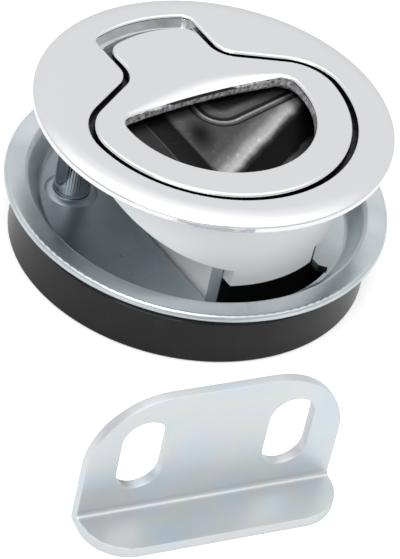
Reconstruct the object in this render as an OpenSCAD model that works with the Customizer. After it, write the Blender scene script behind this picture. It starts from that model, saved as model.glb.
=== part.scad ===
// Large flush pull latch for a door or hatch, with its strike bracket.
// Millimetres, +Z out of the door. The origin is the centre of the panel hole on the door's
// outer face, where the flange seats. +Y points from the pull ring to the pawl's nose.

/* [Door panel] */
// Thickness of the door that the latch is clamped to
panel_t = 16; // [14:0.5:18]
// Diameter of the round hole in the door
panel_hole_d = 50.8; // [50.8:0.1:51.6]
// Radial clearance of the round collar in the hole
hole_clear = 0.25; // [0.15:0.05:0.4]

/* [Flange] */
// Diameter of the visible flange
flange_d = 62; // [60:0.5:66]
// Thickness of the flange at its rim
flange_rim_t = 1.3; // [1.1:0.1:1.6]
// Height that the flange rises from its rim to its flat middle
flange_crown = 0.5; // [0.3:0.1:0.7]
// Width of the slope between the flat middle and the rim
flange_slope_w = 4.4; // [3:0.2:4.6]
// Rounding of the flange's upper edge
flange_edge_r = 0.5; // [0.3:0.1:0.8]

/* [Pull handle] */
// Diameter of the pull ring
pull_d = 47.2; // [46:0.1:48]
// Width of the neck
neck_w = 17.6; // [16:0.2:18]
// Radius of the neck's curved end, from the latch axis
neck_end_r = 22.3; // [21.5:0.1:22.5]
// Rounding of the two corners of the neck
neck_corner_r = 3.4; // [2:0.2:4]
// Slope of the shoulders between the neck and the ring
shoulder_angle = 29.3; // [26:0.5:33]
// Radius of the hollow curve beside the neck
shoulder_in_r = 5; // [4:0.5:6]
// Radius of the full curve where the shoulder meets the ring
shoulder_out_r = 9; // [7:0.5:11]
// Distance from the latch axis to where the neck's straight sides end
shoulder_y = 15.1; // [14.5:0.1:16]
// Thickness of the handle plate
handle_t = 3; // [2.7:0.1:3.2]
// Thickness of the lip round the handle plate
handle_lip_t = 1.2; // [1:0.05:1.25]
// Width of the lip round the handle plate
handle_lip_w = 1.8; // [1.7:0.05:1.9]
// Width of the finger hole's round outer side
finger_d = 34.6; // [33:0.2:36]
// Top of the finger hole, from the latch axis
finger_top_y = 4; // [3:0.2:4.6]
// Bow of the finger hole's top edge, as a radius
finger_bow_r = 120; // [80:5:200]
// Rounding of the finger hole's corners
finger_corner_r = 2.6; // [2:0.2:4]
// Rounding of the handle's upper edges
handle_edge_r = 0.6; // [0.4:0.1:0.8]
// Width of the soft scoop above the finger hole
scoop_w = 4.6; // [3:0.2:5]
// Depth of the soft scoop
scoop_depth = 1.1; // [0.8:0.1:1.4]

/* [Recess] */
// Gap between the handle and the recess it lies in
handle_gap = 0.9; // [0.7:0.05:1.1]
// Radius of the recess's end behind the neck
recess_end_r = 25.4; // [25.2:0.1:25.8]
// Depth of the ledge under the handle's lip
ledge_depth = 1.5; // [1.4:0.05:1.6]
// Rounding of the recess's upper edge
recess_edge_r = 0.5; // [0.3:0.1:0.7]
// Depth of the tray under the handle plate
tray_depth = 3.6; // [3.5:0.1:4]

/* [Barrel and housing] */
// Height of the round collar that centres the flange in the hole
collar_h = 1.5; // [1:0.1:2.5]
// Step in from the collar to the barrel
collar_step = 0.15; // [0.1:0.05:0.2]
// Wall of the barrel
barrel_wall = 1.3; // [1.1:0.1:1.5]
// Taper of the barrel's wall down to the skirt's foot
barrel_taper = 0.7; // [0.4:0.1:1]
// Depth of the front skirt below the door's outer face
skirt_depth = 17.2; // [16.5:0.1:17.4]
// Half width of the front skirt
skirt_half_w = 8.3; // [7.5:0.1:9]
// Depth of the barrel's slanted lower edge at its front
slant_front_depth = 14; // [13:0.2:14.6]
// Rise of the slanted lower edge for each millimetre towards the neck
slant_rise = 0.52; // [0.46:0.01:0.56]
// Outer width of the mechanism housing
housing_w = 22; // [21.8:0.1:22.6]
// Wall of the mechanism housing
housing_wall = 1.5; // [1.3:0.05:1.6]
// Distance from the latch axis to the housing's pull side below the skirt
housing_front_y = 20.5; // [19.8:0.1:21]
// Distance from the latch axis to the housing's pawl side
housing_back_y = 20; // [19.4:0.1:20.4]
// Depth of the bay under the neck
bay_depth = 9.2; // [9:0.1:10]
// Distance from the latch axis to the bay's near wall
bay_front_y = 7; // [6.6:0.1:7.4]
// Thickness of the finger pocket's sloping floor and of the tray's floor
floor_t = 1.4; // [1.2:0.1:1.5]
// Inner width of the housing above the pawl's channel
lever_space_w = 12.9; // [12.4:0.1:13]

/* [Pivot] */
// Distance from the latch axis to the handle's pin
pin_y = 16; // [15.9:0.05:16.1]
// Depth of the pin below the flange's flat middle
pin_drop = 4; // [3.9:0.05:4.1]
// Diameter of the handle's pin
pin_d = 3; // [2.6:0.1:3.2]
// Radial running clearance on the pin
pin_clear = 0.05; // [0.03:0.01:0.08]
// Diameter of the handle's two hubs
hub_d = 6; // [5.6:0.1:6.4]
// Thickness of each hub
hub_w = 2.6; // [2.2:0.1:2.8]
// Diameter of the pin's head and clip
pin_head_d = 4.6; // [4.2:0.1:4.8]
// Thickness of the pin's head
pin_head_t = 1; // [0.8:0.1:1.2]
// Thickness of the pin's clip
clip_t = 0.6; // [0.5:0.1:0.8]
// Wire of the two torsion springs
twist_wire = 0.5; // [0.4:0.05:0.55]
// Clearance between the pin and the torsion springs
twist_clear = 0.3; // [0.2:0.05:0.4]
// Coils in each torsion spring
twist_coils = 3; // [2:1:3]

/* [Drive lever] */
// Width of the lever across the latch
lever_w = 5.6; // [4.8:0.1:6]
// Diameter of the lever's eye
lever_eye_d = 4.8; // [4.6:0.1:5]
// Clearance round the eye and the springs in the handle's underside
eye_relief = 0.3; // [0.2:0.05:0.4]
// Length of the lever's lug under the handle plate
lug_l = 7; // [6.6:0.1:7.4]
// Depth of that lug below the pin's axis
lug_drop = 0.6; // [0.4:0.1:0.8]
// Thickness of the lever along the pawl's travel
lever_t = 3; // [2.7:0.1:3.1]
// Reach of the lever from the pin to its tip
lever_reach = 23.5; // [23.3:0.1:23.6]

/* [Pawl] */
// Width of the pawl
pawl_w = 15; // [13.6:0.2:15.6]
// Thickness of the pawl
pawl_t = 3.9; // [3.6:0.1:4]
// Reach of the pawl's nose from the latch axis
pawl_reach = 41; // [39:0.2:43]
// Reach of the pawl's tail on the pull side
pawl_tail = 4; // [3:0.2:5]
// Rounding of the pawl's nose
pawl_nose_r = 0.4; // [0.2:0.1:0.6]
// Gap beside the pawl in its channel
pawl_gap = 0.35; // [0.3:0.05:0.45]
// Thickness left at the tip of the pawl's ramp
pawl_tip_t = 1.3; // [1:0.1:1.8]
// Length of the pawl's ramp
pawl_ramp_l = 6; // [4.5:0.5:7]
// Clearance each side of the lever in the pawl's slot
lever_clear = 0.75; // [0.6:0.05:0.9]
// Diameter of the two pawl springs
coil_d = 2.7; // [2.4:0.1:2.8]
// Wire of the two pawl springs
coil_wire = 0.4; // [0.3:0.05:0.45]
// Coils in each pawl spring
coil_turns = 12; // [9:1:14]

/* [Guide cover] */
// Thickness of the cover under the pawl's channel
cover_t = 1; // [0.8:0.1:1.1]
// Diameter of the four cover screws' thread
cover_screw_d = 1.6; // [1.4:0.1:1.8]
// Diameter of the four cover screws' heads
cover_head_d = 2.6; // [2.4:0.1:2.8]
// Length of the four cover screws' thread in the housing
cover_grip = 4.5; // [3:0.5:5]
// Inset of the cover screws from the cover's ends
cover_inset = 2; // [1.8:0.1:2.6]

/* [Mounting plate] */
// Diameter of the dished plate
plate_d = 67; // [66:0.2:68]
// Thickness of the plate
plate_t = 1.5; // [1.3:0.1:1.6]
// Depth of the dish
dish_depth = 4.2; // [4:0.1:4.4]
// Radius where the flat rim meets the slope
dish_top_r = 30; // [29.8:0.1:30.4]
// Radius where the slope meets the floor
dish_floor_r = 26.5; // [26.3:0.1:26.7]
// Clearance of the plate's window round the housing
window_clear = 0.8; // [0.6:0.1:1]
// Width of the raised seat round each post
post_seat_w = 1.5; // [1.2:0.1:1.8]
// Height of that raised seat
post_seat_h = 0.55; // [0.4:0.05:0.7]
// Size of the relief notch in the window's front corners
notch_w = 1.6; // [1.2:0.1:2]

/* [Posts and screws] */
// Distance from the latch axis to the two screw posts
post_r = 21.4; // [21.2:0.1:21.6]
// Angle of the posts above the latch's cross line
post_angle = 33; // [30:1:36]
// Diameter of a post
post_d = 6.4; // [6:0.1:6.8]
// Diameter of the mounting screws' thread
screw_d = 3; // [3:0.1:3.4]
// Length of the screws' thread in the post
screw_grip = 9; // [7:0.5:11]
// Diameter of the screws' heads
screw_head_d = 5.6; // [5.2:0.1:6]
// Height of the screws' heads
screw_head_h = 2.1; // [1.8:0.1:2.4]
// Thickness of the spring washers
washer_t = 0.8; // [0.6:0.1:1]
// Diameter of the spring washers
washer_d = 6.2; // [6:0.1:6.4]

/* [Spacer ring] */
// Diameter of the black ring at its foot
spacer_d = 62.8; // [61.6:0.2:63.4]
// Draft of the ring's outer wall over its height
spacer_draft = 0.35; // [0.2:0.05:0.5]
// Height of the ring
spacer_h = 8.4; // [8.2:0.1:8.6]
// Drop of the ring's foot below the guide cover
foot_drop = 1.1; // [0.8:0.1:1.4]
// Wall of the ring
spacer_wall = 4; // [3.8:0.1:4.1]
// Width of the ledge that carries the dish
spacer_ledge_w = 1.6; // [1.2:0.1:1.7]
// Thickness of that ledge
spacer_ledge_t = 1.6; // [1.2:0.1:2]

/* [Strike bracket] */
// Width of the bracket
strike_w = 43.6; // [40:0.2:46]
// Height of the screwed leg
strike_h = 24.4; // [24:0.2:28]
// Depth of the catch leg
strike_depth = 8.8; // [8:0.2:10]
// Thickness of the bracket
strike_t = 1.8; // [1.5:0.1:2]
// Corner radius of the screwed leg
strike_leg_r = 13; // [9:0.5:14]
// Corner radius of the catch leg
strike_foot_r = 7.5; // [5:0.5:8]
// Radius inside the bend
strike_bend_r = 0.8; // [0.5:0.1:1.2]
// Distance between the two slots
slot_pitch = 25; // [24:0.5:27]
// Width of a slot
slot_w = 7.6; // [6.4:0.2:8]
// Length of a slot
slot_l = 13.8; // [11:0.2:14]
// Height of the slots' middle above the bracket's foot
slot_z = 13; // [12.6:0.1:13.4]
// Distance from the latch axis to the bracket's bend
strike_off = 64.4; // [60:0.1:70]
// Direction of the bracket from the latch axis
strike_dir = 239; // [234:0.2:243]
// Turn of the bracket about its own upright axis
strike_turn = -10.75; // [-20:0.25:5]

/* [Hidden] */
$fn = 72;

// A cut's overrun, and the play between two still pieces that seat on each other
over = 0.5;
seat = 0.02;

flange_t = flange_rim_t + flange_crown;
flange_r = flange_d / 2;
collar_r = panel_hole_d / 2 - hole_clear;
barrel_r = collar_r - collar_step;
pull_r = pull_d / 2;
finger_r = finger_d / 2;
handle_under_z = flange_t - handle_t;
lip_z = flange_t - handle_lip_t;
ledge_z = flange_t - ledge_depth;
tray_z = flange_t - tray_depth;
pin_z = flange_t - pin_drop;
housing_half_w = housing_w / 2;
bay_half_w = housing_half_w - housing_wall;
hub_gap = 0.3;
hub_x = bay_half_w - hub_gap - hub_w / 2;
plate_z = -panel_t;
dish_floor_z = plate_z - dish_depth;
dish_under_z = dish_floor_z - plate_t;
pawl_top_z = dish_under_z - 0.3;
pawl_low_z = pawl_top_z - pawl_t;
channel_z = pawl_top_z + 0.15;
housing_low_z = pawl_low_z - 0.1;
base_z = housing_low_z - cover_t - foot_drop;
channel_half_w = pawl_w / 2 + pawl_gap;
tray_wall = barrel_wall + collar_step + 0.1;
plate_r = plate_d / 2;
window_half_w = housing_half_w + window_clear;
spacer_r = spacer_d / 2;
spacer_in_r = spacer_r - spacer_wall;
spacer_top_z = base_z + spacer_h;
post_places = [for (a = [post_angle, 180 - post_angle]) post_r * [cos(a), sin(a)]];
cover_screw_places = [
    for (x = [-1, 1]) for (y = [cover_inset - housing_front_y, housing_back_y - cover_inset])
        [x * (channel_half_w + housing_half_w) / 2, y]
];

// Points along an arc of radius r round c, from angle a to angle b
function arc(c, r, a, b, n) =
    [for (i = [0:n]) let (t = a + (b - a) * i / n) c + r * [cos(t), sin(t)]];
// The same list without its first point
function tail(p) = [for (i = [1:len(p) - 1]) p[i]];
// A right half outline completed with its mirror image
function both_sides(h) = concat(h, [for (i = [len(h) - 2:-1:1]) [-h[i][0], h[i][1]]]);
function at_height(p, z) = [for (q = p) [q[0], q[1], z]];

// Centre of the full shoulder curve, tangent to the ring and to the shoulder's straight line
function shoulder_centre() =
    let (d = [cos(shoulder_angle), -sin(shoulder_angle)])
    let (n = [sin(shoulder_angle), cos(shoulder_angle)])
    let (p = [neck_w / 2 + shoulder_in_r, shoulder_y] - (shoulder_in_r + shoulder_out_r) * n)
    let (b = p * d)
    let (c = p * p - pow(pull_r - shoulder_out_r, 2))
    p + (sqrt(b * b - c) - b) * d;

// Right half of the handle's outline grown by g, with its neck ending at radius end_r
function handle_half(g, end_r, corner_r) =
    let (cv = shoulder_centre())
    let (cc = [neck_w / 2 + shoulder_in_r, shoulder_y])
    let (av = atan2(cv[1], cv[0]))
    let (kx = neck_w / 2 + g - corner_r)
    let (ky = sqrt(pow(end_r - corner_r, 2) - kx * kx))
    let (ak = atan2(ky, kx))
    concat(
        arc([0, 0], pull_r + g, -90, av, 22),
        tail(arc(cv, shoulder_out_r + g, av, 90 - shoulder_angle, 9)),
        arc(cc, shoulder_in_r - g, 270 - shoulder_angle, 180, 8),
        arc([kx, ky], corner_r, 0, ak, 7),
        tail(arc([0, 0], end_r, ak, 90, 5))
    );
function handle_plan(g) = both_sides(handle_half(g, neck_end_r + g, neck_corner_r + g));
function recess_plan(g) = both_sides(handle_half(handle_gap + g, recess_end_r + g, 2 + g));

// Right half of the finger hole's outline grown by g
function finger_half(g) =
    let (k = finger_top_y - finger_bow_r)
    let (a = finger_r - finger_corner_r)
    let (b = finger_bow_r - finger_corner_r)
    let (y = (a * a - b * b + k * k) / (2 * k))
    let (x = sqrt(a * a - y * y))
    concat(
        arc([0, 0], finger_r + g, -90, atan2(y, x), 20),
        tail(arc([x, y], finger_corner_r + g, atan2(y, x), atan2(y - k, x), 8)),
        tail(arc([0, k], finger_bow_r + g, atan2(y - k, x), 90, 10))
    );
function finger_plan(g) = both_sides(finger_half(g));

// How much of the scoop the finger hole's edge has at a point: all at the neck, none on the ring
function scoop_share(p) = p[1] < 0 ? 0 : pow(max(0, cos(92 * p[0] / finger_r)), 1.3);

// The finger hole's edge at angle a of its rounding, which widens into the scoop
function finger_lip(a, lift = 0) =
    let (base = finger_plan(0))
    let (grow = finger_plan(1))
    [for (i = [0:len(base) - 1])
        let (s = scoop_share(base[i]))
        let (w = handle_edge_r + s * (scoop_w - handle_edge_r))
        let (d = handle_edge_r + s * (scoop_depth - handle_edge_r))
        let (q = base[i] + w * (1 - cos(a)) * (grow[i] - base[i]))
        [q[0], q[1], flange_t - d * (1 - sin(a)) + lift]];

// A closed solid through a stack of outlines that all have the same number of points
module skin(rings) {
    n = len(rings[0]);
    m = len(rings);
    low = [[for (i = [0:n - 1]) i]];
    high = [[for (i = [n - 1:-1:0]) (m - 1) * n + i]];
    walls = [
        for (k = [0:m - 2]) for (i = [0:n - 1]) let (j = (i + 1) % n)
            each [[k * n + i, (k + 1) * n + j, k * n + j], [k * n + i, (k + 1) * n + i, (k + 1) * n + j]]
    ];
    polyhedron(points = [for (r = rings) each r], faces = concat(low, walls, high), convexity = 6);
}

// A coiled wire about Z, as a closed tube of six sides
module coil(d, wire, turns, pitch, steps) {
    n = turns * steps;
    r = (d - wire) / 2;
    skin([
        for (i = [0:n]) let (t = 360 * i / steps)
            [for (k = [0:5]) let (u = -60 * k)
                [(r + wire / 2 * cos(u)) * cos(t), (r + wire / 2 * cos(u)) * sin(t),
                 wire / 2 + pitch * i / steps + wire / 2 * sin(u)]]
    ]);
}

// A rod along X through the pin's axis, centred at x
module along_x(d, w, x = 0) {
    translate([x, pin_y, pin_z]) rotate([0, 90, 0]) cylinder(d = d, h = w, center = true);
}

// A side view in the YZ plane, drawn with Y to the right, w wide along X
module side_slab(w, x = 0) {
    translate([x - w / 2, 0, 0]) rotate([90, 0, 90]) linear_extrude(w) children();
}

// Height of the barrel's slanted lower edge, raised by lift
function slant_at(y, lift = 0) = lift - slant_front_depth + slant_rise * (y + barrel_r - 1.6);
// Upright thickness of the pocket's sloping floor
floor_lift = floor_t / cos(atan(slant_rise));

module slant_keep(lift) {
    side_slab(3 * barrel_r) polygon([
        [-2 * barrel_r, slant_at(-2 * barrel_r, lift)], [2 * barrel_r, slant_at(2 * barrel_r, lift)],
        [2 * barrel_r, 60], [-2 * barrel_r, 60]
    ]);
}

// The round barrel, which tapers below the collar, or its inside when shrunk by wall
module barrel(wall = 0) {
    rotate_extrude() polygon([
        [0, 0], [barrel_r - wall, 0], [barrel_r - wall, -collar_h],
        [barrel_r - wall - barrel_taper, -skirt_depth], [0, -skirt_depth]
    ]);
}

module flange() {
    flat_r = flange_r - flange_slope_w;
    slope = atan2(flange_crown, flange_slope_w);
    rotate_extrude(convexity = 4) polygon(concat(
        [[0, 0], [flange_r - 0.2, 0], [flange_r, 0.2]],
        arc([flange_r - flange_edge_r, flange_rim_t - flange_edge_r], flange_edge_r, 0, 90 - slope, 5),
        [for (i = [1:5]) let (r = flange_r - flange_edge_r - (flange_slope_w - flange_edge_r) * i / 5)
            [r, flange_t - flange_crown * pow((r - flat_r) / flange_slope_w, 1.6)]],
        [[0, flange_t]]
    ));
}

// Everything cut for the handle: the recess with its rounded edge, and the tray under it
module handle_recess() {
    steps = 4;
    skin(concat(
        [at_height(recess_plan(0), ledge_z)],
        [for (i = [0:steps]) let (a = 90 * i / steps)
            at_height(recess_plan(recess_edge_r * (1 - cos(a))), flange_t - recess_edge_r * (1 - sin(a)))],
        [at_height(recess_plan(recess_edge_r), flange_t + over)]
    ));
    translate([0, 0, tray_z]) linear_extrude(ledge_z - tray_z + seat) polygon(recess_plan(-tray_wall));
}

// The pocket that the fingers reach into: a sloping floor that falls away under the pull ring
module finger_pocket() {
    intersection() {
        barrel(barrel_wall);
        slant_keep(floor_lift);
        translate([-barrel_r, -barrel_r, -skirt_depth]) cube([2 * barrel_r, barrel_r, skirt_depth + tray_z + seat]);
    }
}

// The space that the drive lever swings in, under the pocket's sloping floor and the tray
module lever_space() {
    low_z = channel_z - seat;
    roof_z = tray_z - floor_t;
    front_y = housing_wall - housing_front_y;
    back_y = housing_back_y - housing_wall;
    roof_y = front_y + (roof_z - slant_at(front_y)) / slant_rise;
    side_slab(lever_space_w) polygon([
        [front_y, low_z], [back_y, low_z], [back_y, -bay_depth + seat], [bay_front_y + seat, -bay_depth + seat],
        [bay_front_y + seat, roof_z], [roof_y, roof_z], [front_y, slant_at(front_y)]
    ]);
}

module latch_body() {
    color("gainsboro") difference() {
        union() {
            flange();
            translate([0, 0, -collar_h]) cylinder(r = collar_r, h = collar_h);
            intersection() {
                barrel();
                slant_keep(0);
            }
            intersection() {
                barrel();
                translate([-skirt_half_w, -barrel_r, -skirt_depth]) cube([2 * skirt_half_w, barrel_r, skirt_depth]);
            }
            intersection() {
                barrel();
                translate([-housing_half_w, 0, -bay_depth - floor_t])
                    cube([housing_w, 2 * barrel_r, bay_depth + floor_t]);
            }
            translate([-housing_half_w, -housing_front_y, housing_low_z])
                cube([housing_w, housing_front_y + housing_back_y, -housing_low_z]);
            translate([0, 0, tray_z - floor_t]) intersection() {
                linear_extrude(floor_t - tray_z) polygon(recess_plan(0.4));
                cylinder(r = barrel_r, h = floor_t - tray_z);
            }
            for (p = post_places) translate([p[0], p[1], dish_floor_z]) cylinder(d = post_d, h = -dish_floor_z);
        }
        handle_recess();
        finger_pocket();
        intersection() {
            translate([0, 0, ledge_z + seat]) barrel(barrel_wall);
            translate([-bay_half_w, bay_front_y, -bay_depth])
                cube([2 * bay_half_w, 2 * barrel_r, bay_depth + ledge_z + seat]);
        }
        lever_space();
        translate([-channel_half_w, housing_wall - housing_front_y, housing_low_z - over])
            cube([2 * channel_half_w, 3 * barrel_r, channel_z - housing_low_z + over]);
        along_x(pin_d + 2 * pin_clear, housing_w + 2);
        for (s = [-1, 1]) along_x(pin_head_d + 0.5, 3, s * (housing_half_w + 1.5));
        for (p = post_places) translate([p[0], p[1], dish_floor_z - over])
            cylinder(d = screw_d + 2 * seat, h = screw_grip + 1 + over);
        for (p = cover_screw_places) translate([p[0], p[1], housing_low_z - over])
            cylinder(d = cover_screw_d + 2 * seat, h = cover_grip + 1 + over, $fn = 24);
    }
}

module pull_handle() {
    steps = 4;
    color("gainsboro") difference() {
        union() {
            skin(concat(
                [
                    at_height(handle_plan(-handle_lip_w - 0.3), handle_under_z),
                    at_height(handle_plan(-handle_lip_w), handle_under_z + 0.3),
                    at_height(handle_plan(-handle_lip_w), lip_z),
                    at_height(handle_plan(0), lip_z + 0.05)
                ],
                [for (i = [0:steps]) let (a = 90 * i / steps)
                    at_height(handle_plan(handle_edge_r * (cos(a) - 1)), flange_t - handle_edge_r * (1 - sin(a)))]
            ));
            for (s = [-1, 1]) {
                along_x(hub_d, hub_w, s * hub_x);
                translate([s * hub_x - hub_w / 2, pin_y - hub_d / 2, pin_z])
                    cube([hub_w, hub_d, handle_under_z + 0.8 - pin_z]);
            }
        }
        skin(concat(
            [
                at_height(finger_plan(0.9), handle_under_z - over),
                at_height(finger_plan(0.9), handle_under_z + 0.7),
                at_height(finger_plan(0), handle_under_z + 1.1)
            ],
            [for (i = [0:steps]) finger_lip(90 * i / steps)],
            [finger_lip(90, over)]
        ));
        along_x(pin_d + 2 * pin_clear, housing_w);
        along_x(lever_eye_d + 2 * eye_relief, 2 * hub_x - hub_w);
    }
}

module handle_pin() {
    color("silver") {
        along_x(pin_d, housing_w + 2 * seat + 2.2, 1.1);
        along_x(pin_head_d, pin_head_t, -housing_half_w - pin_head_t / 2);
    }
}

module pin_clip() {
    color("dimgray") difference() {
        along_x(pin_head_d, clip_t, housing_half_w + seat + clip_t / 2);
        along_x(pin_d + 2 * seat, 3, housing_half_w);
    }
}

module handle_springs() {
    room = hub_x - hub_w / 2 - lever_w / 2 - 2 * hub_gap;
    color("silver") for (s = [-1, 1])
        translate([s * (lever_w / 2 + hub_gap), pin_y, pin_z]) rotate([0, s * 90, 0])
            coil(pin_d + 2 * (twist_clear + twist_wire), twist_wire, twist_coils,
                 (room - twist_wire) / twist_coils, 24);
}

module drive_lever() {
    color("lightsteelblue") difference() {
        side_slab(lever_w) union() {
            translate([pin_y, pin_z]) circle(d = lever_eye_d);
            translate([pin_y - lever_t / 2, pin_z - lever_reach + lever_t / 2])
                square([lever_t, lever_reach - lever_t / 2]);
            translate([pin_y, pin_z - lever_reach + lever_t / 2]) circle(d = lever_t);
            translate([pin_y - lug_l / 2, pin_z - lug_drop])
                square([lug_l, handle_under_z - seat - pin_z + lug_drop]);
        }
        along_x(pin_d + 2 * pin_clear, housing_w);
    }
}

module pawl() {
    groove_w = coil_d + 0.3;
    nose_l = pawl_ramp_l;
    color("#26282a") difference() {
        side_slab(pawl_w) polygon([
            [-pawl_tail, pawl_low_z], [pawl_reach - nose_l, pawl_low_z],
            [pawl_reach - pawl_nose_r, pawl_top_z - pawl_tip_t],
            [pawl_reach, pawl_top_z - pawl_tip_t + pawl_nose_r], [pawl_reach, pawl_top_z - pawl_nose_r],
            [pawl_reach - pawl_nose_r, pawl_top_z], [-pawl_tail, pawl_top_z]
        ]);
        translate([-lever_w / 2 - 0.4, pin_y - lever_t / 2 - lever_clear, pawl_low_z - over])
            cube([lever_w + 0.8, lever_t + 2 * lever_clear, pawl_t + 2 * over]);
        for (s = [-1, 1]) translate([s * pawl_w / 3 - groove_w / 2, -pawl_tail - over, pawl_low_z + 0.6])
            cube([groove_w, pawl_tail + 3 + over, pawl_t]);
    }
}

module pawl_springs() {
    length = housing_front_y - housing_wall + 3;
    color("silver") for (s = [-1, 1])
        translate([s * pawl_w / 3, 3 - seat, pawl_top_z - 0.2 - coil_d / 2]) rotate([90, 0, 0])
            coil(coil_d, coil_wire, coil_turns, (length - coil_wire - 2 * seat) / coil_turns, 12);
}

module guide_cover() {
    color("lightsteelblue") difference() {
        translate([-housing_half_w, -housing_front_y, housing_low_z - cover_t])
            cube([housing_w, housing_front_y + housing_back_y, cover_t]);
        for (p = cover_screw_places) translate([p[0], p[1], housing_low_z - cover_t])
            countersink(cover_screw_d, cover_head_d, cover_t, seat);
    }
}

// A countersunk head and shank standing on its head's flat, from z = 0 up
module countersink(d, head_d, t, clear = 0, l = 0) {
    rotate_extrude($fn = 24) polygon([
        [0, -clear * 10], [head_d / 2 + clear, -clear * 10], [head_d / 2 + clear, 0],
        [d / 2 + clear, t * 0.6], [d / 2 + clear, t + l + clear], [0, t + l + clear]
    ]);
}

module cover_screws() {
    color("silver") for (p = cover_screw_places) translate([p[0], p[1], housing_low_z - cover_t])
        countersink(cover_screw_d, cover_head_d, cover_t, 0, cover_grip);
}

// Height of the dish's upper surface at radius r, with soft bends at both ends of the slope
function dish_z(r) =
    r >= dish_top_r ? plate_z
    : r <= dish_floor_r ? dish_floor_z
    : plate_z - dish_depth * (1 + cos(180 * (r - dish_floor_r) / (dish_top_r - dish_floor_r))) / 2;

module mounting_plate() {
    slope = [for (i = [0:10]) dish_floor_r + (dish_top_r - dish_floor_r) * i / 10];
    window_r = dish_floor_r - 0.3;
    color("lightsteelblue") difference() {
        union() {
            rotate_extrude(convexity = 6) polygon(concat(
                [[0, dish_under_z]],
                [for (r = slope) [r, dish_z(r) - plate_t]],
                arc([plate_r - plate_t / 2, plate_z - plate_t / 2], plate_t / 2, -90, 90, 6),
                [for (i = [10:-1:0]) [slope[i], dish_z(slope[i])]],
                [[0, dish_floor_z]]
            ));
            for (p = post_places) translate([p[0], p[1], dish_floor_z - seat]) rotate_extrude() polygon([
                [post_d / 2 + 0.1, 0], [post_d / 2 + post_seat_w, 0],
                [post_d / 2 + 0.7 * post_seat_w, 0.6 * post_seat_h],
                [post_d / 2 + 0.3 * post_seat_w, post_seat_h], [post_d / 2 + 0.1, post_seat_h]
            ]);
        }
        intersection() {
            translate([0, 0, dish_under_z - over]) cylinder(r = window_r, h = 3 * plate_t);
            translate([-window_half_w, -plate_r, dish_under_z - over])
                cube([2 * window_half_w, plate_r + housing_back_y + window_clear, 3 * plate_t]);
        }
        for (s = [-1, 1]) translate([s * window_half_w, -sqrt(pow(window_r, 2) - pow(window_half_w, 2)), 0])
            translate([0, notch_w / 2, dish_under_z - over]) rotate([0, 0, 45])
                cube([notch_w, notch_w, 6 * plate_t], center = true);
        for (p = post_places) translate([p[0], p[1], dish_under_z - over])
            cylinder(d = screw_d + 0.4, h = 3 * plate_t);
    }
}

module mounting_screws() {
    head_z = dish_under_z - washer_t - 2 * seat;
    color("silver") for (p = post_places) translate([p[0], p[1], head_z]) difference() {
        union() {
            cylinder(d = screw_d, h = washer_t + plate_t + screw_grip);
            rotate_extrude() polygon([
                [0, -screw_head_h], [screw_head_d / 2 - 0.9, -screw_head_h],
                [screw_head_d / 2 - 0.2, -screw_head_h + 0.6], [screw_head_d / 2, -0.6],
                [screw_head_d / 2, 0], [0, 0]
            ]);
        }
        for (a = [0, 90]) rotate([0, 0, a]) translate([-1.5, -0.3, -screw_head_h - over])
            cube([3, 0.6, 1 + over]);
    }
}

module spring_washers() {
    color("silver") for (p = post_places) translate([p[0], p[1], dish_under_z - washer_t - seat]) difference() {
        cylinder(d = washer_d, h = washer_t);
        translate([0, 0, -over]) cylinder(d = screw_d + 0.4, h = 2);
        translate([0, -0.2, -over]) rotate([0, 0, 20]) cube([washer_d, 0.4, 2]);
    }
}

module spacer_ring() {
    low_in_r = spacer_in_r;
    ledge_r = spacer_in_r - spacer_ledge_w;
    top_in = dish_floor_r + 2;
    seat_r = [for (i = [0:5]) low_in_r + (top_in - low_in_r) * i / 5];
    color("#1c1c1e") difference() {
        rotate_extrude(convexity = 6) polygon(concat(
            [
                [low_in_r, base_z], [spacer_r - 0.3, base_z], [spacer_r, base_z + 0.3],
                [spacer_r - spacer_draft, spacer_top_z - 0.35], [spacer_r - spacer_draft - 0.35, spacer_top_z]
            ],
            [for (i = [5:-1:0]) [seat_r[i], min(spacer_top_z, dish_z(seat_r[i]) - plate_t - seat)]],
            [
                [low_in_r, dish_under_z - seat], [ledge_r, dish_under_z - seat],
                [ledge_r, dish_under_z - spacer_ledge_t], [low_in_r, dish_under_z - spacer_ledge_t - 0.8]
            ]
        ));
        translate([-pawl_w / 2 - 0.8, 0, pawl_low_z - 0.4])
            cube([pawl_w + 1.6, plate_r, pawl_t + 0.7 + seat]);
    }
}

// A rounded leg of the bracket: square at the bend, two big corners at its free end
module strike_leg(l, r) {
    intersection() {
        translate([-strike_w / 2, 0]) square([strike_w, l]);
        hull() {
            translate([-strike_w / 2, 0]) square([strike_w, 0.1]);
            for (s = [-1, 1]) translate([s * (strike_w / 2 - r), l - r]) circle(r = r);
        }
    }
}

module strike_bracket() {
    turn = strike_turn;
    place = strike_off * [cos(strike_dir), sin(strike_dir)];
    color("lightsteelblue") translate([place[0], place[1], base_z]) rotate([0, 0, turn]) difference() {
        union() {
            translate([0, strike_t, 0]) rotate([90, 0, 0]) linear_extrude(strike_t)
                strike_leg(strike_h, strike_leg_r);
            linear_extrude(strike_t) mirror([0, 1]) translate([0, -strike_t])
                strike_leg(strike_depth + strike_t, strike_foot_r);
            translate([-strike_w / 2, 0, strike_t]) rotate([90, 0, 90]) linear_extrude(strike_w)
                difference() {
                    translate([-strike_bend_r, 0]) square(strike_bend_r);
                    translate([-strike_bend_r, strike_bend_r]) circle(r = strike_bend_r, $fn = 32);
                }
        }
        for (s = [-1, 1]) translate([s * slot_pitch / 2, strike_t + over, slot_z]) rotate([90, 0, 0])
            linear_extrude(strike_t + 2 * over) {
                square([slot_w, slot_l - slot_w], center = true);
                for (k = [-1, 1]) translate([0, k * (slot_l - slot_w) / 2]) circle(d = slot_w);
            }
    }
}

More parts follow.
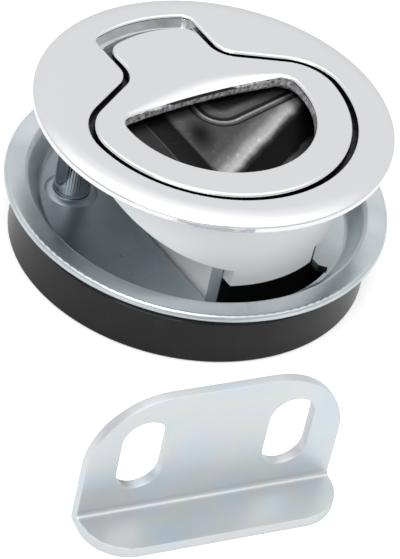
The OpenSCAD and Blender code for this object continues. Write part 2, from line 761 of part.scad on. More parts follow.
latch_body();
pull_handle();
handle_pin();
pin_clip();
handle_springs();
drive_lever();
pawl();
pawl_springs();
guide_cover();
cover_screws();
mounting_plate();
mounting_screws();
spring_washers();
spacer_ring();
strike_bracket();
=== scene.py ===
import math

import bmesh
import bpy
from mathutils import Matrix, Vector


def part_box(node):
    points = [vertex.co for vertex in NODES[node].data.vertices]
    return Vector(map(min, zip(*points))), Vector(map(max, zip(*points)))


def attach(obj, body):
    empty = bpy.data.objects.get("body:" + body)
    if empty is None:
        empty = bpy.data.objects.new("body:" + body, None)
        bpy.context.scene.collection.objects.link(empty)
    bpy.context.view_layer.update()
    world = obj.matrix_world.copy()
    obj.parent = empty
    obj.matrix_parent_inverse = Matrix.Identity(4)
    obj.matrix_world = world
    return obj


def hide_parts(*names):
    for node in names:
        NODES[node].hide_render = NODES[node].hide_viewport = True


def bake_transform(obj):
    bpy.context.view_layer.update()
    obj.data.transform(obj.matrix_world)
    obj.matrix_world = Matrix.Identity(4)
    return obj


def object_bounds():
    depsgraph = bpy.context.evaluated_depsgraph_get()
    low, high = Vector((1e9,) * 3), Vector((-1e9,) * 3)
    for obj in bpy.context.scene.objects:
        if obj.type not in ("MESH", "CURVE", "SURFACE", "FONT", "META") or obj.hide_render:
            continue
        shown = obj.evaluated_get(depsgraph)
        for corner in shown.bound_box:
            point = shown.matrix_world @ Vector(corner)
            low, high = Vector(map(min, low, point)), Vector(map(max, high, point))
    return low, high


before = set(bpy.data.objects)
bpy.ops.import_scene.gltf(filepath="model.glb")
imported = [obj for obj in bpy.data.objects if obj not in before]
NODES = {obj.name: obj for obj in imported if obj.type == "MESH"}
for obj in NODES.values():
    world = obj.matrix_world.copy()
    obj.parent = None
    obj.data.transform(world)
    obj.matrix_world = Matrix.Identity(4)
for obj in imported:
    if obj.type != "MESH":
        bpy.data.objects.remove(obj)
CAD_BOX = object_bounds()
MM = 0.001

# View, floor and light
LENS_MM = 190.2
SENSOR_MM = 36.0
CAMERA_AT = (-0.264471, -0.301675, 0.296248)
CAMERA_RIGHT = (0.82159, -0.54354, 0.17195)
CAMERA_UP = (0.24794, 0.61227, 0.75076)
FLOOR_Z = CAD_BOX[0].z
FLOOR_HALF_WIDTH = 6.0
FLOOR_TONE = 0.86
# The floor's own light for camera rays and for mirror rays
FLOOR_LIFT_SEEN = 0.42
FLOOR_LIFT_MIRRORED = 0.1
# The radius in metres inside which the floor stays dark, painted near-black as shade under the black
# ring's foot, and the tone of that painted shade
FLOOR_SHADE_R = 0.029
FLOOR_SHADE_TONE = 0.02
# The side of the room that stays dark, as a level direction, and how its share grows towards it
DARK_SIDE = (-0.66, -0.75, 0.0)
DARK_SHARE = [(0.0, 0.0), (0.35, 1.0)]
# Brightness by height, 0 at the horizon and 1 overhead, of the far and the dark side of the room
FAR_LEVELS = [(0.0, 0.68), (0.45, 0.80), (0.6, 0.80), (0.68, 0.81), (0.74, 0.95), (0.82, 1.25)]
NEAR_LEVELS = [(0.0, 0.6), (0.5, 0.6), (0.72, 0.8), (0.86, 1.25)]
# The lamp: its place and size in metres and its power
KEY_AT = (-0.5, -0.35, 0.95)
KEY_SIZE = 0.7
KEY_WATTS = 4.0

# Places in millimetres that divide the finishes of the castings. Heights, from the top down:
RECESS_RIM_Z = 1.31
RECESS_WALL_Z = 1.25
HANDLE_EDGE_Z = 1.22
LEDGE_Z = 0.25
TRAY_Z = -1.8
HOUSING_TOP_Z = -12.0
POCKET_END_Z = -12.5
# Radii from the latch's axis
RECESS_R = 25.6
UNDER_FLANGE_R = 25.0
POST_OUTER_R = 25.0
BARREL_INNER_R = 23.9
# Distances to the side and along the latch
POST_INNER_X = 13.5
HOUSING_SIDE_X = 10.8
HOUSING_FRONT_Y = -20.3
HOUSING_REAR_Y = 19.8
NECK_END_Y = 19.0
CAST_WALL_END_Y = 6.0
HOLE_CENTRE = (0.0, -8.0)
# How far a face may lie beside a height and still belong to it, and the same for a point on the tray
MARGIN = 0.05
TRAY_MARGIN = 0.03
# Limits on the parts of a face's unit normal
LEVEL = 0.7
NEARLY_LEVEL = 0.8
SQUARE_ON = 0.9
FACING_DOWN = -0.3
FACING_FRONT = -0.35
UPRIGHT = 0.6
# Heights in millimetres between which the dish's zinc goes from dark to bright, up to the plate's rim:
# painted shade, deepest low in the dish
DISH_SHADE_LOW_Z = -20.6
RIM_Z = -16.0
DISH_PAINTED_SHADE = [(DISH_SHADE_LOW_Z, (0.38, 0.42, 0.43)), (DISH_SHADE_LOW_Z + 0.5, (0.5, 0.53, 0.54)),
               (RIM_Z - 0.6, (0.9, 0.92, 0.92)), (RIM_Z, 1.0)]
# The direction towards the plate's window side, as a, b and c of a * x + b * y + c in millimetres, and
# how much painted light lifts the zinc's painted shade along it
WINDOW_SIDE = (0.75, -0.66, 0.0)
WINDOW_SIDE_PAINTED_LIGHT = [(-8.0, 0.0), (20.0, 0.85)]
# Tones of the housing's front wall by x in millimetres: satin up to its left corner, then painted
# near-black as shade behind the window
FRONT_PAINTED_SHADE = [(-8.6, 1.0), (-8.3, 0.02)]
# The bloom of the passivated zinc
RAINBOW = [(0.0, (0.60, 0.67, 0.75)), (0.3, (0.64, 0.70, 0.72)), (0.5, (0.71, 0.68, 0.69)),
           (0.7, (0.70, 0.70, 0.64)), (1.0, (0.62, 0.69, 0.75))]

# Lines of the painted reflections in the finger pocket, as a, b and c of a * x + b * y + c in millimetres:
# the shift of its bands in the flat tray, the direction across them, the two sides of its ring and the
# line left of it
TRAY_SHIFT = (0.0, 0.319, 0.948)
ACROSS_BANDS = (-0.39, 0.92, 0.0)
RING_CORNER_R = 6.0
RING_LEFT_SIDE = (-1.0, 0.0, RING_CORNER_R - 1.3)
RING_FRONT_SIDE = (0.198, -1.0, RING_CORNER_R - 2.45)
LEFT_LINE = (0.92, 0.392, 7.07)
# How far the bands of the tray go along x for each millimetre along y, and how far they wander
SHIFT_ALONG_X = 0.894
BAND_WANDER = 0.4
# Tones of the slope's painted reflections by distance in millimetres: across its bands, round its ring and
# left of the line
POCKET_BANDS = [(-18.0, 0.05), (-14.5, 0.13), (-13.2, 0.15), (-12.7, 0.015), (-9.3, 0.01), (-8.7, 0.05),
                (-7.8, 0.55), (-6.9, 0.42), (-6.0, 0.19), (-4.5, 0.09), (-2.5, 0.08), (6.0, 0.14)]
POCKET_RING = [(-4.0, 0.05), (-3.0, 0.16), (-1.9, 0.12), (-1.6, 0.03), (-1.0, 0.02), (-0.8, 0.4),
               (-0.5, 0.3), (-0.35, 0.12), (0.0, 0.1), (0.15, 0.015), (0.45, 0.02), (0.7, 0.1)]
POCKET_LEFT = [(-12.0, 0.05), (-4.6, 0.04), (-4.4, 0.09), (-4.2, 0.02), (-0.6, 0.012), (-0.2, 0.07),
               (0.1, 0.1)]
# By the same distances, how far the ring and the part left of the line replace the slope's bands
RING_SHARE = [(0.3, 1.0), (0.6, 0.0)]
LEFT_SHARE = [(0.0, 1.0), (0.25, 0.0)]
# The dark spot of painted reflection on the slope: its middle, and its tones by distance from there
SPOT_AT = (-4.0, -2.2)
SPOT_TONES = [(0.0, 0.12), (1.2, 0.3), (3.4, 1.0)]
# Fine specks of painted glint over all of it, by the level of their noise
SPECKS = [(0.0, 0.8), (0.66, 1.0), (0.74, 1.5)]

# The clean copies: distances in metres at which corners merge and slivers go, and angles in degrees up to
# which faces count as one plane and from which an edge is softened
MERGE_DISTANCE = 2e-6
SLIVER_DISTANCE = 1e-7
ONE_PLANE = 0.3
SOFTENED_FROM = 35.0
# Turned faces: how level their normals are at least, and how straight they point at the axis
TURNED_LEVEL = 0.05
TURNED_STRAIGHT = 0.988
# In metres, the x and y of an axis, and the least and greatest radius of what turns round it
CENTRE = (0.0, 0.0, 0.0228, 0.04)
HANDLE_CENTRE = (0.0, 0.0, 0.0165, 0.04)
POSTS = [(side * 0.0179473, 0.0116552, 0.0025, 0.0052) for side in (-1, 1)]


def make_camera():
    """The photograph's view: a long lens from the front left, rolled a little clockwise."""
    data = bpy.data.cameras.new("camera")
    data.lens, data.sensor_width = LENS_MM, SENSOR_MM
    data.clip_start, data.clip_end = 0.01, 20.0
    camera = bpy.data.objects.new("camera", data)
    right, up = Vector(CAMERA_RIGHT).normalized(), Vector(CAMERA_UP)
    up = (up - right * up.dot(right)).normalized()
    turn = Matrix((right, up, right.cross(up))).transposed()
    camera.matrix_world = Matrix.Translation(CAMERA_AT) @ turn.to_4x4()
    bpy.context.collection.objects.link(camera)
    bpy.context.scene.camera = camera


def make_lamp():
    """One soft square lamp from the front left, aimed at the latch."""
    data = bpy.data.lights.new("key", "AREA")
    data.shape = "SQUARE"
    data.size = KEY_SIZE
    data.energy = KEY_WATTS
    lamp = bpy.data.objects.new("key", data)
    lamp.location = KEY_AT
    lamp.rotation_euler = (-Vector(KEY_AT)).to_track_quat("-Z", "Y").to_euler()
    bpy.context.collection.objects.link(lamp)


def new_material(name):
    """A node material with its Principled BSDF, ready for its own nodes."""
    material = bpy.data.materials.new(name)
    material.use_nodes = True
    tree = material.node_tree
    return material, tree, tree.nodes["Principled BSDF"]


def math_node(tree, kind, a, b=None, clamp=False):
    """One arithmetic node; a and b are sockets or numbers."""
    node = tree.nodes.new("ShaderNodeMath")
    node.operation, node.use_clamp = kind, clamp
    for i, value in enumerate((a, b)):
        if value is None:
            continue
        if isinstance(value, (int, float)):
            node.inputs[i].default_value = value
        else:
            tree.links.new(value, node.inputs[i])
    return node.outputs[0]


def ramp_node(tree, value, stops, smooth=False):
    """A colour ramp with stops of (place, grey or colour)."""
    node = tree.nodes.new("ShaderNodeValToRGB")
    ramp = node.color_ramp
    ramp.interpolation = "EASE" if smooth else "LINEAR"
    while len(ramp.elements) > 1:
        ramp.elements.remove(ramp.elements[-1])
    for i, (place, colour) in enumerate(stops):
        stop = ramp.elements[0] if i == 0 else ramp.elements.new(place)
        stop.position = place
        stop.color = (*colour, 1) if isinstance(colour, tuple) else (colour, colour, colour, 1)
    tree.links.new(value, node.inputs[0])
    return node.outputs[0]


def mix_node(tree, share, a, b):
    """Colour a where share is 0 and b where it is 1; a and b are sockets or colours."""
    node = tree.nodes.new("ShaderNodeMix")
    node.data_type = "RGBA"
    for name, value in (("Factor_Float", share), ("A_Color", a), ("B_Color", b)):
        socket = next(s for s in node.inputs if s.identifier == name)
        if isinstance(value, (int, float)):
            socket.default_value = value
        elif isinstance(value, tuple):
            socket.default_value = (*value, 1)
        else:
            tree.links.new(value, socket)
    return next(s for s in node.outputs if s.identifier == "Result_Color")


def multiply(tree, a, b):
    """The product of two colours."""
    node = tree.nodes.new("ShaderNodeVectorMath")
    node.operation = "MULTIPLY"
    tree.links.new(a, node.inputs[0])
    tree.links.new(b, node.inputs[1])
    return node.outputs[0]


def place_in_mm(tree, axes="XYZ"):
    """Sockets of a surface point's place in millimetres along each of the axes."""
    coord = tree.nodes.new("ShaderNodeTexCoord")
    split = tree.nodes.new("ShaderNodeSeparateXYZ")
    tree.links.new(coord.outputs["Object"], split.inputs[0])
    return [math_node(tree, "MULTIPLY", split.outputs[axis], 1 / MM) for axis in axes]


def line_distance(tree, x, y, line):
    """The socket of a * x + b * y + c, where line holds a, b and c."""
    a, b, c = line
    total = math_node(tree, "ADD", math_node(tree, "MULTIPLY", x, a), math_node(tree, "MULTIPLY", y, b))
    return math_node(tree, "ADD", total, c)


def length_of(tree, a, b):
    """The socket of the root of a squared plus b squared."""
    squares = math_node(tree, "ADD", math_node(tree, "MULTIPLY", a, a), math_node(tree, "MULTIPLY", b, b))
    return math_node(tree, "SQRT", squares)


def band(tree, value, stops):
    """A colour ramp of value, with its stops in the value's own units."""
    start, end = stops[0][0], stops[-1][0]
    share = math_node(tree, "DIVIDE", math_node(tree, "SUBTRACT", value, start), end - start, clamp=True)
    return ramp_node(tree, share, [((place - start) / (end - start), tone) for place, tone in stops])


def new_group(name, inputs, outputs):
    """A shader node group with its input and output nodes; inputs are (label, kind, value)."""
    group = bpy.data.node_groups.new(name, "ShaderNodeTree")
    for label, kind, value in inputs:
        group.interface.new_socket(label, in_out="INPUT", socket_type=kind).default_value = value
    for label, kind in outputs:
        group.interface.new_socket(label, in_out="OUTPUT", socket_type=kind)
    return group, group.nodes.new("NodeGroupInput").outputs, group.nodes.new("NodeGroupOutput").inputs


def use_group(tree, group, **values):
    """A group's node with its constants set on the sockets."""
    node = tree.nodes.new("ShaderNodeGroup")
    node.node_tree = group
    for label, value in values.items():
        node.inputs[label].default_value = (*value, 1) if isinstance(value, tuple) else value
    return node.outputs


def cloud_group():
    """Cloudy tone over a surface: Level runs from 0 to 1, and Colour from Low to High with it."""
    group, given, made = new_group(
        "cloudy_tone",
        [("Scale", "NodeSocketFloat", 90.0), ("Detail", "NodeSocketFloat", 4.0),
         ("Low", "NodeSocketColor", (0, 0, 0, 1)), ("High", "NodeSocketColor", (1, 1, 1, 1))],
        [("Colour", "NodeSocketColor"), ("Level", "NodeSocketFloat")])
    coord = group.nodes.new("ShaderNodeTexCoord")
    noise = group.nodes.new("ShaderNodeTexNoise")
    group.links.new(coord.outputs["Object"], noise.inputs["Vector"])
    group.links.new(given["Scale"], noise.inputs["Scale"])
    group.links.new(given["Detail"], noise.inputs["Detail"])
    level = ramp_node(group, noise.outputs[0], [(0.3, 0.0), (0.7, 1.0)])
    group.links.new(level, made["Level"])
    group.links.new(mix_node(group, level, given["Low"], given["High"]), made["Colour"])
    return group


def grain_group():
    """Fine grain as a bump: Stretch over 1 draws it out along X like brush marks."""
    group, given, made = new_group(
        "fine_grain",
        [("Scale", "NodeSocketFloat", 2500.0), ("Stretch", "NodeSocketFloat", 1.0),
         ("Height", "NodeSocketFloat", 0.00001)],
        [("Normal", "NodeSocketVector")])
    coord = group.nodes.new("ShaderNodeTexCoord")
    split = group.nodes.new("ShaderNodeSeparateXYZ")
    join = group.nodes.new("ShaderNodeCombineXYZ")
    noise = group.nodes.new("ShaderNodeTexNoise")
    bump = group.nodes.new("ShaderNodeBump")
    noise.inputs["Detail"].default_value = 3.0
    group.links.new(coord.outputs["Object"], split.inputs[0])
    group.links.new(math_node(group, "DIVIDE", split.outputs["X"], given["Stretch"]), join.inputs["X"])
    group.links.new(split.outputs["Y"], join.inputs["Y"])
    group.links.new(split.outputs["Z"], join.inputs["Z"])
    group.links.new(join.outputs[0], noise.inputs["Vector"])
    group.links.new(given["Scale"], noise.inputs["Scale"])
    group.links.new(noise.outputs[0], bump.inputs["Height"])
    group.links.new(given["Height"], bump.inputs["Distance"])
    group.links.new(bump.outputs[0], made["Normal"])
    return group


def make_floor():
    """A white paper floor that keeps the shadow, with painted shade that keeps it dark inside the black
    ring's foot.
    """
    half = FLOOR_HALF_WIDTH
    mesh = bpy.data.meshes.new("floor")
    corners = [(-half, -half, FLOOR_Z), (half, -half, FLOOR_Z), (half, half, FLOOR_Z),
               (-half, half, FLOOR_Z)]
    mesh.from_pydata(corners, [], [(0, 1, 2, 3)])
    floor = bpy.data.objects.new("floor", mesh)
    bpy.context.collection.objects.link(floor)
    material, tree, bsdf = new_material("floor_paper")
    bsdf.inputs["Roughness"].default_value = 0.9
    bsdf.inputs["Specular IOR Level"].default_value = 0.0
    bsdf.inputs["Emission Color"].default_value = (1, 1, 1, 1)
    path = tree.nodes.new("ShaderNodeLightPath")
    seen = math_node(tree, "MAXIMUM", path.outputs["Is Camera Ray"], path.outputs["Is Transmission Ray"])
    seen = math_node(tree, "MULTIPLY", seen, FLOOR_LIFT_SEEN)
    mirrored = math_node(tree, "MULTIPLY", path.outputs["Is Glossy Ray"], FLOOR_LIFT_MIRRORED)
    coord = tree.nodes.new("ShaderNodeTexCoord")
    far = tree.nodes.new("ShaderNodeVectorMath")
    far.operation = "LENGTH"
    tree.links.new(coord.outputs["Object"], far.inputs[0])
    outside = math_node(tree, "GREATER_THAN", far.outputs["Value"], math.hypot(FLOOR_SHADE_R, FLOOR_Z))
    lift = math_node(tree, "MULTIPLY", math_node(tree, "ADD", seen, mirrored), outside)
    tree.links.new(lift, bsdf.inputs["Emission Strength"])
    # Painted shade: the paper's tone drops to near-black inside the black ring's foot
    paper = ramp_node(tree, outside, [(0.0, FLOOR_SHADE_TONE), (1.0, FLOOR_TONE)])
    tree.links.new(paper, bsdf.inputs["Base Color"])
    mesh.materials.append(material)


def make_world():
    """A bright ceiling, a light grey far side and a dark side behind the viewer."""
    world = bpy.data.worlds.new("studio")
    world.use_nodes = True
    tree = world.node_tree
    back = tree.nodes["Background"]
    coord = tree.nodes.new("ShaderNodeTexCoord")
    split = tree.nodes.new("ShaderNodeSeparateXYZ")
    tree.links.new(coord.outputs["Generated"], split.inputs[0])
    side = tree.nodes.new("ShaderNodeVectorMath")
    side.operation = "DOT_PRODUCT"
    side.inputs[1].default_value = DARK_SIDE
    tree.links.new(coord.outputs["Generated"], side.inputs[0])
    far = ramp_node(tree, split.outputs["Z"], FAR_LEVELS)
    near = ramp_node(tree, split.outputs["Z"], NEAR_LEVELS)
    share = ramp_node(tree, side.outputs["Value"], DARK_SHARE, smooth=True)
    tree.links.new(mix_node(tree, share, far, near), back.inputs["Color"])
    bpy.context.scene.world = world


def metal(name, low, high, rough, scale=90.0, metallic=1.0, grain=0.0, stretch=1.0):
    """A metal whose tone and roughness drift between two ends; grain is its bump in millimetres."""
    material, tree, bsdf = new_material(name)
    bsdf.inputs["Metallic"].default_value = metallic
    cloud = use_group(tree, CLOUD, Scale=scale, Detail=4.0, Low=low, High=high)
    tree.links.new(cloud["Colour"], bsdf.inputs["Base Color"])
    tree.links.new(ramp_node(tree, cloud["Level"], [(0.0, rough[0]), (1.0, rough[1])]),
                   bsdf.inputs["Roughness"])
    if grain:
        marks = use_group(tree, GRAIN, Scale=2500.0, Stretch=stretch, Height=grain * MM)
        tree.links.new(marks["Normal"], bsdf.inputs["Normal"])
    return material


def own_colour(material):
    """A metal's node tree, its Base Color input and the socket that feeds it."""
    tree = material.node_tree
    colour = tree.nodes["Principled BSDF"].inputs["Base Color"]
    return tree, colour, colour.links[0].from_socket


def rainbow_zinc(name, low, high, rough, share):
    """Zinc plating with the faint pink and yellow bloom of its passivation."""
    material = metal(name, low, high, rough, scale=60.0, grain=0.002, stretch=3.0)
    tree, colour, plain = own_colour(material)
    wave = use_group(tree, CLOUD, Scale=75.0, Detail=1.0)
    bloom = ramp_node(tree, wave["Level"], RAINBOW)
    tree.links.new(mix_node(tree, share, plain, bloom), colour)
    return material


def housing_front(name):
    """The housing's front wall: satin at its left corner and painted near-black as shade behind the
    window.
    """
    material = metal(name, (0.56, 0.62, 0.66), (0.64, 0.70, 0.74), (0.3, 0.4), metallic=0.3)
    tree, colour, plain = own_colour(material)
    (x,) = place_in_mm(tree, "X")
    # Painted shade: right of its left corner the wall's tone is multiplied down to near-black
    tree.links.new(multiply(tree, plain, band(tree, x, FRONT_PAINTED_SHADE)), colour)
    return material


def dish_zinc(name, low, high, rough):
    """Brushed zinc plating with painted shade, darker down in the dish than on its rim, and painted light
    on its window side.
    """
    material = metal(name, low, high, rough, grain=0.004, stretch=3.0)
    tree, colour, plain = own_colour(material)
    x, y, height = place_in_mm(tree)
    # Painted shade darkens the zinc low in the dish, and painted light takes it off towards the window
    # side
    shade = band(tree, height, DISH_PAINTED_SHADE)
    painted_light_share = band(tree, line_distance(tree, x, y, WINDOW_SIDE), WINDOW_SIDE_PAINTED_LIGHT)
    shade = mix_node(tree, painted_light_share, shade, (1.0, 1.0, 1.0))
    tree.links.new(multiply(tree, plain, shade), colour)
    return material


def black_moulding(name, rough=(0.13, 0.21)):
    """Glossy black plastic with a little wander in its shine."""
    material = metal(name, (0.006, 0.006, 0.007), (0.011, 0.011, 0.012), rough, scale=260.0, metallic=0.0)
    material.node_tree.nodes["Principled BSDF"].inputs["Specular IOR Level"].default_value = 0.32
    return material


def pocket_chrome():
    """The pocket's polished slope, with the light and dark that it mirrors painted on by place."""
    material, tree, bsdf = new_material("pocket_chrome")
    bsdf.inputs["Metallic"].default_value = 1.0
    bsdf.inputs["Roughness"].default_value = 0.45
    x, y, height = place_in_mm(tree)
    # The bands bend where the slope runs out into the flat tray
    flat = math_node(tree, "GREATER_THAN", height, TRAY_Z - TRAY_MARGIN)
    bend = math_node(tree, "MULTIPLY", flat, line_distance(tree, x, y, TRAY_SHIFT))
    slope_x = math_node(tree, "SUBTRACT", x, math_node(tree, "MULTIPLY", bend, SHIFT_ALONG_X))
    slope_y = math_node(tree, "SUBTRACT", y, bend)
    wander = use_group(tree, CLOUD, Scale=260.0, Detail=3.0)["Level"]
    shift = math_node(tree, "MULTIPLY", math_node(tree, "SUBTRACT", wander, 0.5), BAND_WANDER)
    across = math_node(tree, "ADD", line_distance(tree, slope_x, slope_y, ACROSS_BANDS), shift)
    tone = band(tree, across, POCKET_BANDS)
    spot = length_of(tree, math_node(tree, "SUBTRACT", slope_x, SPOT_AT[0]),
                     math_node(tree, "SUBTRACT", slope_y, SPOT_AT[1]))
    tone = multiply(tree, tone, band(tree, spot, SPOT_TONES))
    # The ring's line runs round a corner: its left side along y, its front side a little slanted
    beside = math_node(tree, "MAXIMUM", line_distance(tree, x, y, RING_LEFT_SIDE), 0.0)
    before = math_node(tree, "MAXIMUM", line_distance(tree, x, y, RING_FRONT_SIDE), 0.0)
    edge = math_node(tree, "SUBTRACT", length_of(tree, beside, before), RING_CORNER_R)
    tone = mix_node(tree, band(tree, edge, RING_SHARE), tone, band(tree, edge, POCKET_RING))
    left = line_distance(tree, slope_x, slope_y, LEFT_LINE)
    tone = mix_node(tree, band(tree, left, LEFT_SHARE), tone, band(tree, left, POCKET_LEFT))
    coord = tree.nodes.new("ShaderNodeTexCoord")
    specks = tree.nodes.new("ShaderNodeTexNoise")
    specks.inputs["Scale"].default_value = 1400.0
    tree.links.new(coord.outputs["Object"], specks.inputs["Vector"])
    bright = ramp_node(tree, specks.outputs[0], SPECKS)
    tree.links.new(multiply(tree, tone, bright), bsdf.inputs["Base Color"])
    return material


# Shading of the copies
def radial(point, axis):
    """A point's distance from an upright axis and the direction away from it."""
    flat = Vector((point.x - axis[0], point.y - axis[1], 0))
    return flat.length, flat.normalized()


def turned_round(face, axes):
    """The axis and side of a face that is part of a turned surface, or None."""
    normal = face.normal
    level = Vector((normal.x, normal.y, 0))
    if level.length < TURNED_LEVEL:
        return None
    level.normalize()
    for axis in axes:
        sides = []
        for vert in face.verts:
            r, out = radial(vert.co, axis)
            if not axis[2] <= r <= axis[3]:
                break
            sides.append(out.dot(level))
        if len(sides) == len(face.verts) and min(abs(s) for s in sides) > TURNED_STRAIGHT:
            return axis, math.copysign(1.0, sides[0])
    return None


def corner_normals(bm, axes, angle):
    """Smooth normals weighted by area, exact round the axes and split at edges sharper than angle."""
    limit = math.cos(math.radians(angle))
    turned = {face: turned_round(face, axes) for face in bm.faces}

    def face_normal(face, vert):
        found = turned[face]
        if not found:
            return face.normal
        axis, side = found
        rise = face.normal.z
        out = radial(vert.co, axis)[1] * (side * math.sqrt(max(0.0, 1 - rise * rise)))
        return Vector((out.x, out.y, rise))

    near = {}
    for vert in bm.verts:
        near[vert] = [(face, face_normal(face, vert), face.calc_area()) for face in vert.link_faces]
    normals = []
    for face in bm.faces:
        for vert in face.verts:
            own = next(entry[1] for entry in near[vert] if entry[0] is face)
            total = Vector((0, 0, 0))
            for _, normal, area in near[vert]:
                if own.dot(normal) >= limit:
                    total += normal * area
            normals.append(total.normalized() if total.length > 0 else own)
    return normals


def soften_edges(bm, width):
    """Rounds every sharp edge to a width in millimetres."""
    limit = math.radians(SOFTENED_FROM)
    edges = [e for e in bm.edges if len(e.link_faces) == 2 and e.calc_face_angle(0) > limit]
    bmesh.ops.bevel(bm, geom=edges, offset=width * MM, offset_type="OFFSET", segments=2, profile=0.6,
                    affect="EDGES", clamp_overlap=True, material=0, loop_slide=True)


def smooth_copy(node, body, materials, axes=(), angle=30.0, bevel=0.0, finish=None):
    """A CAD node's copy with merged corners and clean shading, which stands for the node.
    """
    mesh = NODES[node].data.copy()
    mesh.name = node + "_skin"
    bm = bmesh.new()
    bm.from_mesh(mesh)
    bmesh.ops.remove_doubles(bm, verts=bm.verts, dist=MERGE_DISTANCE)
    bmesh.ops.dissolve_degenerate(bm, edges=bm.edges, dist=SLIVER_DISTANCE)
    if bevel:
        bmesh.ops.dissolve_limit(bm, angle_limit=math.radians(ONE_PLANE), verts=bm.verts, edges=bm.edges)
        soften_edges(bm, bevel)
        bmesh.ops.triangulate(bm, faces=bm.faces)
    bm.normal_update()
    for face in bm.faces:
        face.smooth = True
        face.material_index = finish(face) if finish else 0
    normals = corner_normals(bm, axes, angle)
    bm.to_mesh(mesh)
    bm.free()
    mesh.normals_split_custom_set(normals)
    marks = [0] * len(mesh.polygons)
    mesh.polygons.foreach_get("material_index", marks)
    mesh.materials.clear()
    for material in materials:
        mesh.materials.append(material)
    mesh.polygons.foreach_set("material_index", marks)
    piece = bpy.data.objects.new(node + "_skin", mesh)
    bpy.context.collection.objects.link(piece)
    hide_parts(node)
    if isinstance(body, str):
        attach(piece, body)
    else:
        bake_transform(piece)


# The finishes of the castings, in the order of their material slots
POLISHED, RAW_PAINTED_SHADE, SHADED, RECESS, POCKET, CAST_WALL, SATIN_PAINTED_LIGHT, POST, FRONT = range(9)


def body_finish(face):
    """The finish of a face of the latch body."""
    centre = face.calc_center_median() / MM
    normal = face.normal
    r = math.hypot(centre.x, centre.y)
    top = max(v.co.z for v in face.verts) / MM
    if abs(normal.z) > LEVEL and abs(centre.z) < 2 * MARGIN and r > UNDER_FLANGE_R:
        return SHADED
    if top < RECESS_RIM_Z and centre.z > LEDGE_Z and r < RECESS_R:
        # The walls of the gap round the handle, bar the neck end, take the raw finish and its painted
        # shade
        return RECESS if centre.y > NECK_END_Y else RAW_PAINTED_SHADE
    if centre.z > RECESS_WALL_Z:
        return POLISHED
    if r < BARREL_INNER_R and centre.z > POCKET_END_Z and not is_housing_side(face, centre):
        sloping = normal.y < FACING_FRONT or centre.z > TRAY_Z - MARGIN
        return POCKET if normal.z > NEARLY_LEVEL and sloping else RAW_PAINTED_SHADE
    if centre.z > -2 * MARGIN:
        return POLISHED
    # The posts under the flange take chrome painted darker as shade
    if abs(centre.x) > POST_INNER_X and centre.y > 0 and r < POST_OUTER_R:
        return POST
    return FRONT if normal.y < -SQUARE_ON and r < BARREL_INNER_R and centre.z < HOUSING_TOP_Z else SATIN_PAINTED_LIGHT


def is_housing_side(face, centre):
    """True for the outer walls of the housing and of the slanted barrel edge."""
    if abs(face.normal.x) > SQUARE_ON and abs(centre.x) > HOUSING_SIDE_X:
        return True
    if face.normal.z < FACING_DOWN:
        return True
    return abs(face.normal.y) > SQUARE_ON and not HOUSING_FRONT_Y <= centre.y <= HOUSING_REAR_Y


def handle_finish(face):
    """The finish of a face of the handle: polished on top, rough in the finger hole, raw elsewhere, with
    its near-black tone painted shade.
    """
    centre = face.calc_center_median() / MM
    if centre.z > HANDLE_EDGE_Z:
        return POLISHED
    inward = face.normal.x * (HOLE_CENTRE[0] - centre.x) + face.normal.y * (HOLE_CENTRE[1] - centre.y)
    if abs(face.normal.z) < UPRIGHT and inward > 0 and centre.y < CAST_WALL_END_Y:
        return CAST_WALL
    return RAW_PAINTED_SHADE


def repaint(node, material):
    """Gives a CAD node that stays as it is its material."""
    materials = NODES[node].data.materials
    materials.clear()
    materials.append(material)


make_camera()
make_world()
make_floor()
make_lamp()

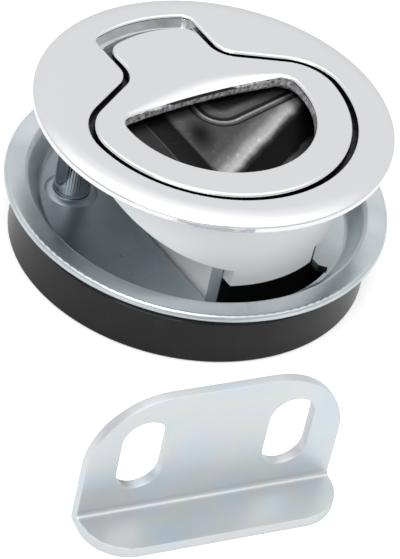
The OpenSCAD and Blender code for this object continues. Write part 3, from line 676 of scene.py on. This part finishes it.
CLOUD, GRAIN = cloud_group(), grain_group()
castings = [
    metal("polished_chrome", (0.865, 0.87, 0.89), (0.885, 0.89, 0.91), (0.03, 0.045), scale=40.0),
    # Raw faces: unpolished, with a near-black tone that is painted shade for the gaps, undersides and
    # inside
    metal("raw_casting_painted_shade", (0.012, 0.012, 0.012), (0.05, 0.05, 0.05), (0.3, 0.4), scale=900.0),
    metal("shaded_chrome", (0.12, 0.125, 0.13), (0.15, 0.155, 0.16), (0.25, 0.35), scale=200.0),
    metal("recess_chrome", (0.60, 0.61, 0.62), (0.76, 0.77, 0.79), (0.08, 0.14), scale=300.0),
    pocket_chrome(),
    metal("cast_wall", (0.14, 0.14, 0.15), (0.9, 0.9, 0.92), (0.2, 0.4), scale=1300.0, metallic=0.35,
          grain=0.04),
    # Satin chrome: a real satin roughness, with a near-white diffuse tone that is painted light for the
    # brightness it mirrors
    metal("satin_chrome_painted_light", (0.94, 0.95, 0.97), (0.98, 0.985, 0.99), (0.36, 0.46), scale=60.0, metallic=0.2),
    # Chrome painted darker as shade for the posts under the flange
    metal("post_chrome_painted_shade", (0.42, 0.45, 0.48), (0.52, 0.55, 0.58), (0.1, 0.2), scale=200.0),
    housing_front("housing_front"),
]
plate_zinc = dish_zinc("zinc_plating", (0.57, 0.63, 0.66), (0.75, 0.80, 0.83), (0.24, 0.36))
bracket_zinc = rainbow_zinc("bracket_plating", (0.64, 0.70, 0.75), (0.72, 0.78, 0.83), (0.36, 0.46), 0.55)
steel = metal("bright_steel", (0.52, 0.55, 0.58), (0.62, 0.64, 0.66), (0.16, 0.24))
dark_steel = metal("dark_spring_steel", (0.17, 0.17, 0.19), (0.22, 0.22, 0.24), (0.26, 0.34))
black = black_moulding("black_ring_moulding")
black_pawl = black_moulding("black_pawl_moulding", (0.27, 0.35))

smooth_copy("latch_body", "housing", castings, [CENTRE, *POSTS], finish=body_finish)
smooth_copy("pull_handle", "handle", castings, [HANDLE_CENTRE], finish=handle_finish)
smooth_copy("mounting_plate", "housing", [plate_zinc], [CENTRE, *POSTS])
smooth_copy("spacer_ring", "housing", [black], [CENTRE], bevel=0.15)
smooth_copy("strike_bracket", "housing", [bracket_zinc], bevel=0.3)
smooth_copy("pawl", "pawl", [black_pawl], bevel=0.2)
# The pawl's springs are handed the housing, the pawl and their front and rear ends, but their copy is left
# unattached and follows neither
spring_low, spring_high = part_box("pawl_springs")
spring_ends = [(0.0, y, spring_low[2]) for y in (spring_low[1], spring_high[1])]
smooth_copy("pawl_springs", ("housing", "pawl", *spring_ends), [steel], angle=60.0)
for node, material in {
    "handle_pin": steel, "pin_clip": dark_steel, "handle_springs": steel, "drive_lever": steel,
    "guide_cover": plate_zinc, "cover_screws": steel, "mounting_screws": steel,
    "spring_washers": dark_steel,
}.items():
    repaint(node, material)

bpy.context.scene.view_settings.view_transform = "Standard"
